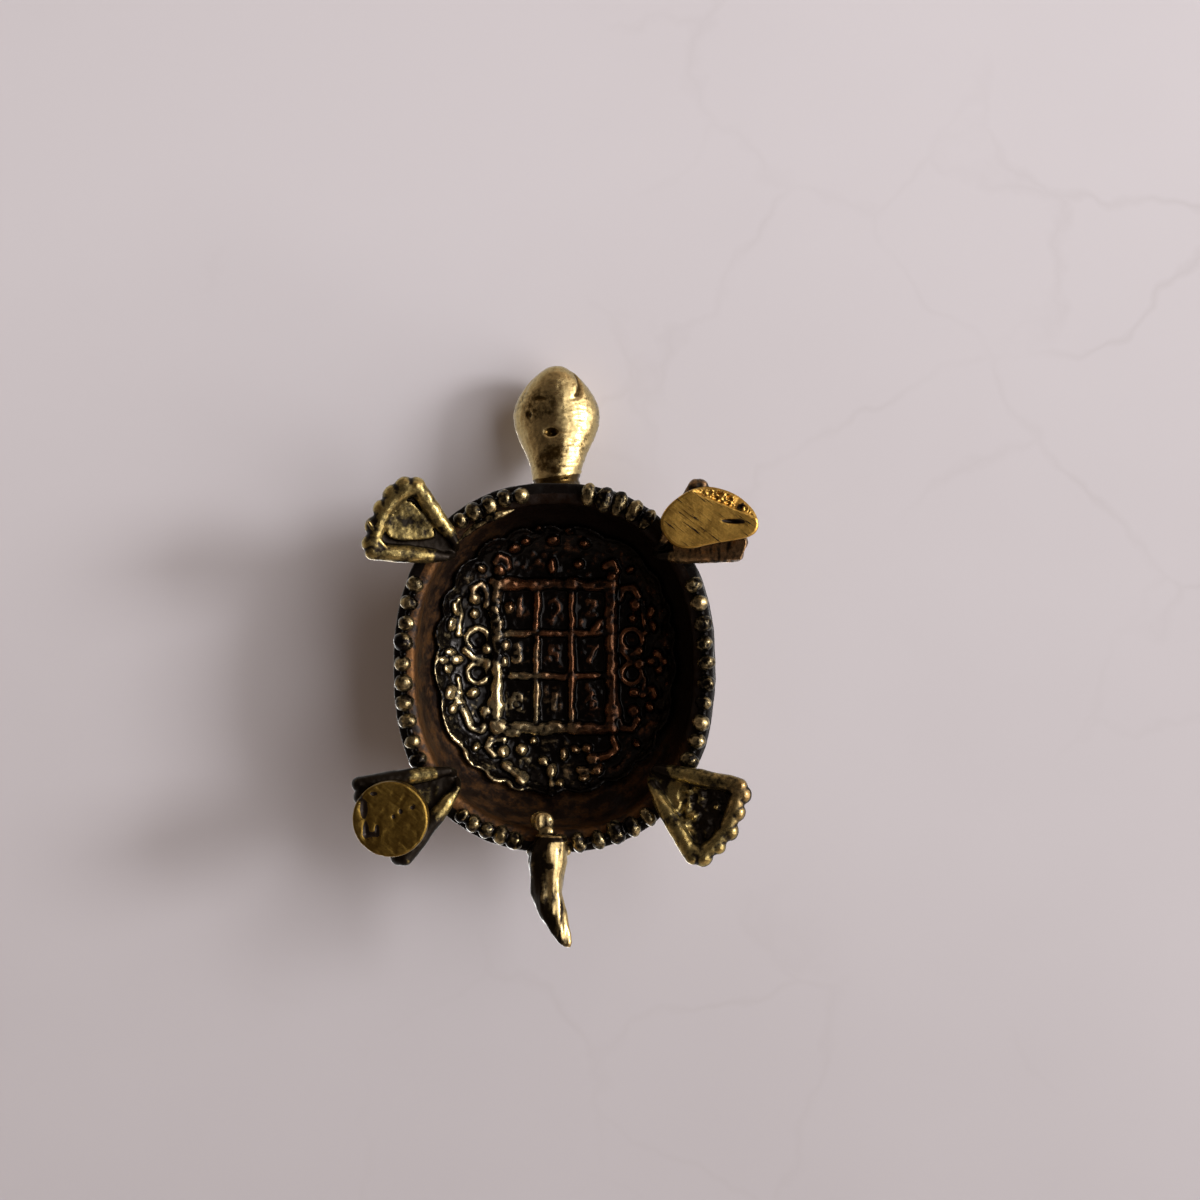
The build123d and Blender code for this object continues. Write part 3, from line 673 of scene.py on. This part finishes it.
def head_sculpt(place):
    """The mouth's groove, the pits and the file ripples."""
    mouth_z = 17.5 - (0.3 + 0.34 * ramp(place.x, 0, 1.5)) * (place.y + 45)
    fade = ramp(place.y, -39.6, -40.8) * (0.2 if place.x < 0 else 1.0)
    stand = -0.5 * fade * hill((place.z - mouth_z) / 0.3)
    low = ramp(place.z, 16.5, 13.5)
    stand -= 0.45 * low * hill((place.y + 26.7 + 0.14 * place.x) / 0.6)
    for x, y, width, length, depth in throat_pits:
        pit = hypot((place.x - x) / width, (place.y - y) / length)
        if place.z < 17 and pit < 2:
            stand -= depth * hill(pit)
    filed = max(0.15, ramp(place.x, -1.0, 1.5)) * ramp(place.y, -41.0, -39.0)
    ripple = noise_at(place.x * 0.6, place.y * 2.6, place.z * 0.6)
    return stand + 0.13 * ripple * filed * (1 if place.z < 18.5 else 0.3)


def head_stain(place, worn):
    """Black braze and painted shade round the neck's root under the flange, grime in the mouth and the pits,
    and two olive patches below that are a painted reflection.
    """
    if place.z > 16.5 + 0.3 * abs(place.y + 37):
        return worn
    if hypot(place.x - 2.3, place.y + 25.3) < 1.1 and place.z < 12.5:
        return worn + 2
    # the neck's root under the flange is darkened: black braze and painted shade
    dirt_and_painted_shade = 9 * ramp(place.z, 16.5, 13.5) * ramp(place.y + 0.14 * place.x, -27.7, -27.1)
    for x, y, width, length, depth in throat_pits:
        dirt_and_painted_shade += 12 * depth * hill((place.x - x) / width, (place.y - y) / length)
    # painted reflection: the two dark olive patches
    for x, y, half_width, half_length in olive_reflection_patches:
        dirt_and_painted_shade += 1.5 * ramp(hypot((place.x - x) / half_width, (place.y - y) / half_length), 1.25, 0.9)
    if place.x > 0.6 and -44.8 < place.y < -40.2:
        dirt_and_painted_shade += 2.5 * hill((place.z - 17.5 + 0.64 * (place.y + 45)) / 0.3)
    return worn + 0.7 - dirt_and_painted_shade


head_shape = bmesh.new()
loft(head_shape, [(0.15, *ring) for ring in head_rings])
for side in (-1, 1):
    lump(head_shape, (side * 4.3, -39.9, 20.9), (2.3, 2.7, 2.3), side * 35)
    lump(head_shape, (side * 4.75, -40.3, 21.1), (1.4, 1.7, 1.4), side * 35)
lump(head_shape, (2.3, -25.2, 11.9), (2.6, 1.9, 1.7), 15)
lump(head_shape, (-2.3, -24.9, 11.9), (3.0, 1.6, 1.4), -10)
cast("head_casting", head_shape, [head_brass], "head", grain=0.12, voxel=0.22, soften=3,
     wear_rounds=26, sculpt=head_sculpt, stain=head_stain)

# The tail: a curved solid horn of brass, brazed under the rim behind, with a lump of braze where it
# meets the bowl. It has a painted highlight along its left edge and painted shade down its right
# side, and it stays dark in the long furrows.
tail_rings = (
    # x, y, middle height, width, depth
    (-0.5, 28.0, 5.3, 4.6, 3.9), (-0.4, 28.9, 5.2, 5.1, 4.5), (-0.9, 30.6, 5.0, 5.9, 4.8),
    (-1.0, 32.2, 4.9, 6.1, 4.8), (-1.1, 34.4, 4.7, 5.4, 4.5), (-1.15, 36.8, 4.4, 5.0, 4.2),
    (-0.6, 39.1, 4.0, 4.5, 3.8), (0.3, 41.3, 3.6, 3.8, 3.3), (1.15, 43.1, 3.3, 2.9, 2.6),
    (1.75, 44.4, 3.1, 1.9, 1.8), (2.05, 45.1, 3.0, 0.9, 0.9),
)
tail_brass = patinated("tail_brass", (0.53, 0.39, 0.18), (0.016, 0.010, 0.005), wear=(-1.2, 1.4),
                       roughness=(0.2, 0.26), dark_metal=0.8, mottle=0.9, grit=0.12,
                       scratch=(90, 90, 700, 1.5, 0.33))


def tail_sculpt(place):
    """Long shallow furrows down the horn."""
    return 0.34 * noise_at(place.x * 0.8, place.y * 0.16, place.z * 0.8)


def tail_stain(place, worn):
    """Painted shade down the right side, a painted highlight along the left edge, and black in the furrows, a
    hole and round the root.
    """
    if place.y < 28.3:
        return worn - 0.3
    middle = float(np.interp(place.y, [ring[1] for ring in tail_rings], [ring[0] for ring in tail_rings]))
    aside = place.x - middle + 0.5 * noise_at(place.x * 0.6, place.y * 0.4, 7)
    furrow = noise_at(place.x * 1.3 + 0.1 * place.y, place.y * 0.18, place.z * 0.5)
    # painted highlight along the left (+x) edge and painted shade down the right side; black in the furrows
    worn += 0.9 - 2.2 * ramp(aside, 0.6, -0.3) - 5 * max(0.0, furrow - 0.15)
    # a darker stripe in the painted shade down the right side
    worn -= 2.2 * hill((aside + 1.5) / 0.4)
    if place.x < -2.6:
        worn -= 2 * max(0.0, 30.5 - place.y)
    worn -= 9 * hill((place.y - 28.6) / 0.25)
    return worn - 7 * hill((place.x + 0.6) / 0.45, (place.y - 32.6) / 0.4)


tail_shape = bmesh.new()
loft(tail_shape, tail_rings)
lump(tail_shape, (-1.9, 26.1, 6.5), (3.9, 3.3, 2.2), 5)
lump(tail_shape, (-1.1, 27.6, 6.1), (2.6, 2.6, 2.0), 5)
lump(tail_shape, (-2.9, 30.6, 6.4), (3.4, 2.8, 2.2))
lump(tail_shape, (1.3, 30.4, 6.4), (2.8, 2.6, 2.0))
cast("tail_casting", tail_shape, [tail_brass], "tail", grain=0.08, voxel=0.18, soften=2,
     wear_rounds=24, sculpt=tail_sculpt, stain=tail_stain)

# The feet: four brass fans, each cast with a round ridge along both sides, an edge of toes, a fluted top
# and a pan in the underside. They are brazed under the rim, and one has a low island in its pan.
root_height, root_run = 4.3, 4.6
ridge_widths = (2.5, 2.7, 2.7, 2.6, 2.2, 1.2)
toe_bar_width, toe_bar_share, toe_width = 2.5, 0.08, 3.1
pan_depth, island_share, island_depth = 1.75, 0.58, 1.05
feet = (
    # name, root, tip distance, lift, front ridge, back ridge, toes
    ("front_right_leg", (-15.4, -15.6), 14.8, 0.0,
     ((-21.0, -25.6), (-15.3, -17.1)), ((-27.8, -15.6), (-16.5, -14.8)),
     ((-21.4, -26.1), (-23.2, -26.0), (-25.0, -24.6), (-26.9, -22.4), (-28.1, -19.7), (-28.7, -16.9))),
    ("front_left_leg", (15.4, -15.6), 14.8, 1.6,
     ((21.9, -25.6), (16.6, -16.9)), ((28.0, -15.3), (16.4, -14.9)),
     ((22.8, -26.0), (24.8, -24.6), (26.9, -22.5), (28.0, -20.0), (29.0, -17.2))),
    ("rear_right_leg", (-15.2, 18.9), 16.9, 1.8,
     ((-29.8, 20.1), (-16.2, 18.1)), ((-22.9, 31.4), (-15.0, 20.9)),
     ((-30.0, 22.2), (-29.2, 25.2), (-27.8, 27.9), (-26.0, 30.4), (-24.2, 31.8))),
    ("rear_left_leg", (15.2, 18.9), 16.6, 0.0,
     ((28.5, 20.2), (15.6, 17.8)), ((21.3, 31.1), (14.8, 20.3)),
     ((29.4, 21.7), (28.6, 24.6), (27.4, 27.6), (25.6, 30.0), (23.2, 31.8))),
)
filled_side = ((18.6, -14.6), (18.0, -18.6), (24.0, -19.4), (29.6, -18.6), (29.4, -16.4), (28.6, -14.3))
filed_edge = ((-28.2, -20.0), (-26.7, -17.4), (-24.8, -15.2))
flute_shares, flute_widths = (0.03, 0.25, 0.45, 0.62), (2.1, 2.0, 1.8, 1.6)
foot_brass = patinated("foot_brass", (0.51, 0.38, 0.14), (0.010, 0.006, 0.003), wear=(-0.1, 1.6),
                       roughness=(0.16, 0.4), dark_metal=0.7, mottle=0.5, grit=0.15,
                       second=((0.40, 0.23, 0.11), (1, -0.4, 0), 0.012, 0.03))


def under(x, y, root, tip, lift):
    """The height of a foot's underside, which falls from the root to the toes."""
    share = min(hypot(x - root[0], y - root[1]) / tip, 1.0)
    return root_height + (lift - root_height) * share


def over(x, y, root, tip, lift):
    """The height of a foot's top."""
    run = hypot(x - root[0], y - root[1])
    return float(np.interp(run, (0, root_run, (root_run + tip) / 2, tip),
                           (rim_height, rim_height, (rim_height + lift + 1.5) / 2 + 0.7, lift + 1.5)))


def toward(point, goal, share):
    """A point in plan, moved one share of the way to another."""
    return tuple(Vector(point).lerp(Vector(goal), share))


def rounded(outline):
    """An outline in plan with its corners cut twice."""
    for _ in range(2):
        after = outline[1:] + outline[:1]
        outline = [toward(start, end, share) for start, end in zip(outline, after)
                   for share in (0.25, 0.75)]
    return outline


def foot_skin(name, root, tip, lift, middle):
    """One foot's sculpting and stain: a rough pan, a matt island, a coppery filed side, dark roots, painted
    shade in the rear left pan, and painted shade on the rear right foot beside its disc.
    """
    def sculpt(place):
        height = place.z - under(place.x, place.y, root, tip, lift)
        reach = hypot(place.x - middle[0] - 1.0, place.y - middle[1])
        if name != "rear_left_leg" or not 1.0 < height < 2.4 or reach > 5.0:
            return 0.0
        rough = 0.7 * noise_at(place.x * 0.7, place.y * 0.7, 1)
        rough += 0.2 * noise_at(place.x * 2, place.y * 2, 5)
        return rough * ramp(reach, 5.0, 3.5)

    def stain(place, worn):
        run = hypot(place.x - root[0], place.y - root[1])
        height = place.z - under(place.x, place.y, root, tip, lift)
        reach = hypot(place.x - middle[0], place.y - middle[1])
        worn -= 3.0 * ramp(run - 2 * noise(place * 0.6), 3.6, 0.6)
        if name == "front_right_leg" and 0.7 < height < 1.4 and reach < 4.5:
            return 0.55 + 0.45 * noise(place * 0.9) + 0.2 * min(worn, 1.0)
        if name == "front_left_leg" and height < 1.5 and -19.5 < place.y < -14.0 and place.x > 17.5:
            return 0.55 + 1.1 * noise_at(place.x * 1.8, place.y * 0.4, 2) + 0.2 * min(worn, 1.5)
        if name == "rear_left_leg" and 1.2 < height < 2.4:
            # painted shade: the rear left pan darkens towards the turtle's left, where its own edge keeps the
            # window's light out
            dirt_and_painted_shade = 1.7 * ramp(place.x - middle[0], -1.5, 2.0)
            return 0.75 + 0.8 * noise(place * 0.9) + 0.3 * min(worn, 1.5) - dirt_and_painted_shade
        if name == "rear_right_leg" and height < 2.6:
            # painted shade: the outer part of the rear right foot, beside and under the disc sole, is
            # darkened
            worn -= 1.6 * ramp(run, 6.0, 8.0)
        if name == "front_left_leg" and place.y < -23.5:
            worn -= 0.5
        return worn

    return sculpt, stain


def slab(shape, outline, low, high):
    """A plate on an outline, between two heights that are functions of its place."""
    face = shape.faces.new([shape.verts.new((x, y, 0)) for x, y in outline])
    parts = bmesh.ops.triangulate(shape, faces=[face])["faces"]
    edges = [edge for edge in shape.edges if any(face in parts for face in edge.link_faces)]
    split = set(bmesh.ops.subdivide_edges(shape, edges=edges, cuts=4, use_grid_fill=True)["geom"])
    flat = [face for face in shape.faces if any(vert in split for vert in face.verts)]
    tops = set(verts_of(bmesh.ops.extrude_face_region(shape, geom=flat)["geom"]))
    for vert in {vert for face in flat if face.is_valid for vert in face.verts} | tops:
        height = high if vert in tops else low
        vert.co.z = height(vert.co.x, vert.co.y)


for name, root, tip, lift, front_ridge, back_ridge, toes in feet:
    form = (root, tip, lift)
    foot = bmesh.new()
    outline = [front_ridge[1], front_ridge[0], *toes[1:-1], back_ridge[0], back_ridge[1]]
    slab(foot, outline, lambda x, y: under(x, y, *form) + pan_depth,
         lambda x, y: max(over(x, y, *form) - 0.35, under(x, y, *form) + pan_depth + 0.6))
    middle = (sum(x for x, _ in outline) / len(outline), sum(y for _, y in outline) / len(outline))
    middle = toward(middle, root, 0.12)
    if name == "front_right_leg":
        island = []
        for point in outline:
            share = island_share * (1 + 0.35 * noise_at(*point, 2))
            island.append(toward(middle, point, share))
        slab(foot, rounded(island), lambda x, y: under(x, y, *form) + island_depth,
             lambda x, y: under(x, y, *form) + pan_depth + 0.3)
    for outer, inner in (front_ridge, back_ridge):
        points = []
        for step, width in enumerate(ridge_widths):
            x, y = toward(outer, inner, step / (len(ridge_widths) - 1))
            x += 0.25 * noise_at(x, y, 4)
            points.append((x, y, under(x, y, *form) + ridge_widths[0] / 2))
        x, y = toward(inner, root, 0.5)
        rod(foot, [*points, (x, y, rim_height - 0.8)], [*ridge_widths, 1.5])
    ends = [front_ridge[0], *toes, back_ridge[0]]
    bar = [toward(end, root, toe_bar_share) for end in ends]
    rod(foot, [(x, y, under(x, y, *form) + toe_bar_width / 2) for x, y in bar], toe_bar_width)
    for toe in toes:
        x, y = toward(toe, root, 0.05)
        size = toe_width * (1 + 0.25 * noise_at(x, y, 0))
        inside = toward(toe, root, 0.1)
        rod(foot, [(x, y, under(x, y, *form) + size / 2 + 0.1), (*inside, under(*inside, *form) + size / 2)],
            (size, size * 0.65))
        flute = [toward((x, y), root, share) for share in flute_shares]
        rod(foot, [(fx, fy, over(fx, fy, *form) - 0.55) for fx, fy in flute], flute_widths)
    if name == "front_right_leg":
        rod(foot, [(x, y, under(x, y, *form) + 0.35) for x, y in filed_edge], 0.6)
    if name == "front_left_leg":
        slab(foot, filled_side, lambda x, y: under(x, y, *form) + 0.05,
             lambda x, y: under(x, y, *form) + 2.6)
    bmesh.ops.recalc_face_normals(foot, faces=foot.faces)
    trim(foot, lift, -1)
    sculpt, stain = foot_skin(name, *form, middle)
    cast(name + "_casting", foot, [foot_brass], name, grain=0.18, voxel=0.18, soften=3,
         sculpt=sculpt, stain=stain)

# The soles: two lumps of brass run into the pans of the front left and rear right feet and filed flat
# where they stand, one a leaf and one a disc. The file's marks run one way, and the pits stay black.
leaf_middle, leaf_half_length, leaf_half_width = (23.7, -20.7), 7.6, 4.9
leaf_outline_shares = (
    (-1.0, 0.1), (-0.93, 0.5), (-0.68, 0.92), (-0.36, 0.97), (0.05, 0.8), (0.5, 0.7), (0.86, 0.58),
    (1.0, 0.32), (0.97, -0.05), (0.82, -0.4), (0.55, -0.74), (0.22, -0.93), (-0.08, -1.0), (-0.36, -0.9),
    (-0.66, -0.62), (-0.88, -0.3),
)
disc_middle, disc_width = (-24.9, 25.2), 11.6
sole_height, filed_depth = 3.6, 1.0
filed_brass = patinated("filed_brass", (0.225, 0.138, 0.03), (0.012, 0.006, 0.003), wear=(-1.3, -0.4),
                        roughness=(0.36, 0.4), dark_metal=0.5, mottle=0.25, grit=0.25,
                        scratch=(38, 150, 2300, 1.8, 0.41),
                        second=((0.56, 0.33, 0.075), (1, 0, 0), -0.005, 0.005))


def leaf_sculpt(place):
    """The leaf's rough hollow along its outer edge, a hole and a cleft."""
    if place.z > filed_depth:
        return 0.0
    along = (place.x - leaf_middle[0]) * 0.79 + (place.y - leaf_middle[1]) * 0.61
    across = -(place.x - leaf_middle[0]) * 0.61 + (place.y - leaf_middle[1]) * 0.79
    hollow = ramp(across + 0.28 * along, -2.75, -3.15) * ramp(along, -4.6, -3.6)
    stand = -hollow * (0.35 + 0.75 * abs(noise(place * 1.2)) + 0.15 * noise(place * 3.0))
    stand -= 2.2 * hill((place.x - 28.3) / 0.6, (place.y + 23.4) / 0.8)
    return stand - 0.9 * hill((place.x - 27.3) / 1.1, (place.y - 0.1 * place.x + 22.88) / 0.24)


def leaf_stain(place, worn):
    """Dirt in the hole and in the cleft, and less of it on the side than in the pits of the face."""
    if place.z > 0.2:
        worn = max(worn, -0.2)
    if place.z > filed_depth:
        return worn
    worn -= 6 * hill((place.x - 27.4) / 1.3, (place.y + 20.2) / 0.35)
    return worn - 9 * hill((place.x - 28.4) / 0.55, (place.y + 23.2) / 0.7)


disc_pits = (
    # x, y, width, length, depth
    (-28.9, 23.6, 0.55, 1.3, 0.55), (-28.6, 26.9, 0.45, 1.1, 0.6), (-27.8, 27.5, 0.9, 0.35, 0.6),
    (-26.9, 26.9, 0.35, 0.8, 0.45), (-27.4, 21.3, 0.5, 0.3, 0.4), (-24.4, 24.8, 0.25, 0.3, 0.4),
    (-23.3, 24.0, 0.3, 0.35, 0.4), (-21.5, 23.4, 0.35, 0.3, 0.25), (-29.6, 21.4, 0.4, 0.8, 0.4),
)


def disc_sculpt(place):
    """Pits near the disc's outer edge and a few in its middle."""
    if place.z > filed_depth:
        return 0.0
    stand = -0.12 * max(0.0, noise(place * 0.8))
    for x, y, width, length, depth in disc_pits:
        stand -= 0.6 * depth * hill((place.x - x) / width, (place.y - y) / length)
    return stand


def disc_stain(place, worn):
    """Dirt in the pits; the file marks of the disc are faint."""
    if place.z > filed_depth:
        return worn
    for x, y, width, length, _ in disc_pits:
        worn -= 12 * hill((place.x - x) / width, (place.y - y) / length)
    return worn + 2.6


for name, middle, outline, sculpt, stain in (
        ("front_left_sole", leaf_middle, rounded(leaf_outline_shares), leaf_sculpt, leaf_stain),
        ("rear_right_sole", disc_middle, None, disc_sculpt, disc_stain)):
    sole = bmesh.new()
    if outline:
        sole.faces.new([sole.verts.new((middle[0] + x * leaf_half_length, middle[1] + y * leaf_half_width, 0))
                        for x, y in outline])
    else:
        bmesh.ops.create_circle(sole, cap_ends=True, segments=48, radius=disc_width / 2,
                                matrix=Matrix.Translation((*middle, 0)))
    lifted = verts_of(bmesh.ops.extrude_face_region(sole, geom=sole.faces[:])["geom"])
    bmesh.ops.translate(sole, vec=(0, 0, sole_height), verts=lifted)
    bmesh.ops.recalc_face_normals(sole, faces=sole.faces)
    rim = [edge for edge in sole.edges if all(vert.co.z < 0.01 for vert in edge.verts)]
    bmesh.ops.bevel(sole, geom=rim, offset=0.35, segments=2, profile=0.5, affect="EDGES", material=-1)
    cast(name + "_filed", sole, [filed_brass], name, grain=0.03, voxel=0.1, soften=1,
         sculpt=sculpt, stain=stain)

# The stage: a pale floor that the turtle stands on, and pale veined marble behind its back, as it
# lies in the picture that is taken from below. Each is seen from the turtle's side alone.
marble_pale, marble_warm, marble_vein = (0.75, 0.715, 0.765), (0.54, 0.505, 0.535), (0.52, 0.48, 0.50)
marble_half, marble_height = 0.16, 0.02435
floor_half = 1.5


def stone(name, scale):
    """Pale polished marble with faint veins, with painted shade that darkens it towards the turtle's tail
    end, clear from behind.
    """
    material = bpy.data.materials.new(name)
    tree = empty_tree(material)
    place = put(tree, "TexCoord").outputs["Object"]
    cloud = specks(tree, place, 14.0 * scale, 3.0)
    bend = put(tree, "TexNoise", {"Vector": place, "Scale": 20.0 * scale, "Detail": 5.0})
    bent = put(tree, "VectorMath", {0: bend.outputs["Color"], 3: 0.05 / scale}, operation="SCALE")
    moved = put(tree, "VectorMath", {0: place, 1: bent.outputs[0]}, operation="ADD")
    veins = put(tree, "TexVoronoi", {"Vector": moved.outputs[0], "Scale": 26.0 * scale},
                feature="DISTANCE_TO_EDGE")
    thin = grade(tree, veins.outputs["Distance"], 0.0, 0.03, 0.3, 0.0)
    vein = reckon(tree, "MULTIPLY", thin, grade(tree, cloud, 0.55, 0.75))
    # painted shade: the stone turns darker towards +y
    painted_falloff = grade(tree, put(tree, "SeparateXYZ", {0: place}).outputs["Y"], -0.08, 0.13, -0.2, 0.7)
    warm = reckon(tree, "MULTIPLY_ADD", cloud, 0.4, painted_falloff, use_clamp=True)
    colour = mix(tree, vein, mix(tree, warm, (*marble_pale, 1), (*marble_warm, 1)), (*marble_vein, 1))
    shader = put(tree, "BsdfPrincipled", {"Base Color": colour, "Roughness": 0.55})
    clear = put(tree, "BsdfTransparent")
    behind = put(tree, "NewGeometry").outputs["Backfacing"]
    either = put(tree, "MixShader", {0: behind, 1: shader.outputs[0], 2: clear.outputs[0]})
    put(tree, "OutputMaterial", {"Surface": either.outputs[0]})
    return material


for name, half, height, scale in (("marble_behind", marble_half, marble_height, 1.0),
                                  ("floor", floor_half, 0.0, 0.5)):
    top = bmesh.new()
    bmesh.ops.create_grid(top, x_segments=1, y_segments=1, size=half,
                          matrix=Matrix.Translation((0, 0, height)))
    if name == "marble_behind":
        bmesh.ops.reverse_faces(top, faces=top.faces)
    mesh = mesh_of(name, top)
    mesh.materials.append(stone(name, scale))
    table = add(name, mesh)
    table.visible_shadow = False
    table.visible_diffuse = False
    table.visible_glossy = False

# The light: a soft window to the turtle's left and a little below, as in the picture, with one clear
# pane that gives the glints, a lamp overhead, and a room that is pale above and dim below.
lamp_target = Vector((0, 0, 0.012))
lamps = (
    # name, place, size, power, colour
    ("window", (2.05, -0.22, -1.27), 3.4, 74.0, (1.0, 0.99, 0.98)),
    ("pane", (2.10, -0.35, -1.15), 0.6, 30.0, (1.0, 0.99, 0.98)),
    ("overhead", (-0.2, 0.3, 0.85), 0.5, 2.5, (1.0, 0.98, 0.96)),
)
room_dim, room_warm, room_pale = (0.075, 0.052, 0.038), (0.56, 0.45, 0.37), (0.60, 0.575, 0.56)
for name, place, size, power, colour in lamps:
    light = bpy.data.lights.new(name, "AREA")
    light.shape = "SQUARE"
    light.size = size
    light.energy = power
    light.color = colour
    lamp = add(name, light)
    lamp.location = place
    lamp.rotation_euler = (lamp_target - Vector(place)).to_track_quat("-Z", "Y").to_euler()

world = bpy.data.worlds.new("room")
scene.world = world
room = empty_tree(world)
direction = put(room, "SeparateXYZ", {0: put(room, "TexCoord").outputs["Generated"]})
low = grade(room, direction.outputs["Z"], -0.95, -0.05, blend="SMOOTHSTEP")
high = grade(room, direction.outputs["Z"], -0.1, 0.25, blend="SMOOTHSTEP")
colour = mix(room, high, mix(room, low, (*room_dim, 1), (*room_warm, 1)), (*room_pale, 1))
aside = grade(room, direction.outputs["X"], -0.5, 0.5, 0.55, 1.45)
strength = put(room, "Mix", {0: high, 2: aside, 3: 1.0})
sky = put(room, "Background", {"Color": colour, "Strength": strength.outputs[0]})
put(room, "OutputWorld", {"Surface": sky.outputs[0]})

# The camera: it looks straight up at the underside from below the floor, a little to one side of the
# middle, with the head at the top of the frame.
camera_place, camera_view = (0.00705, -0.0082, -0.4125), 24.97
camera = bpy.data.cameras.new("camera")
camera.sensor_width = 36.0
camera.angle = radians(camera_view)
camera.clip_start = 0.01
eye = add("camera", camera)
eye.location = camera_place
eye.rotation_euler = (pi, 0, 0)
scene.camera = eye
scene.view_settings.view_transform = "Standard"
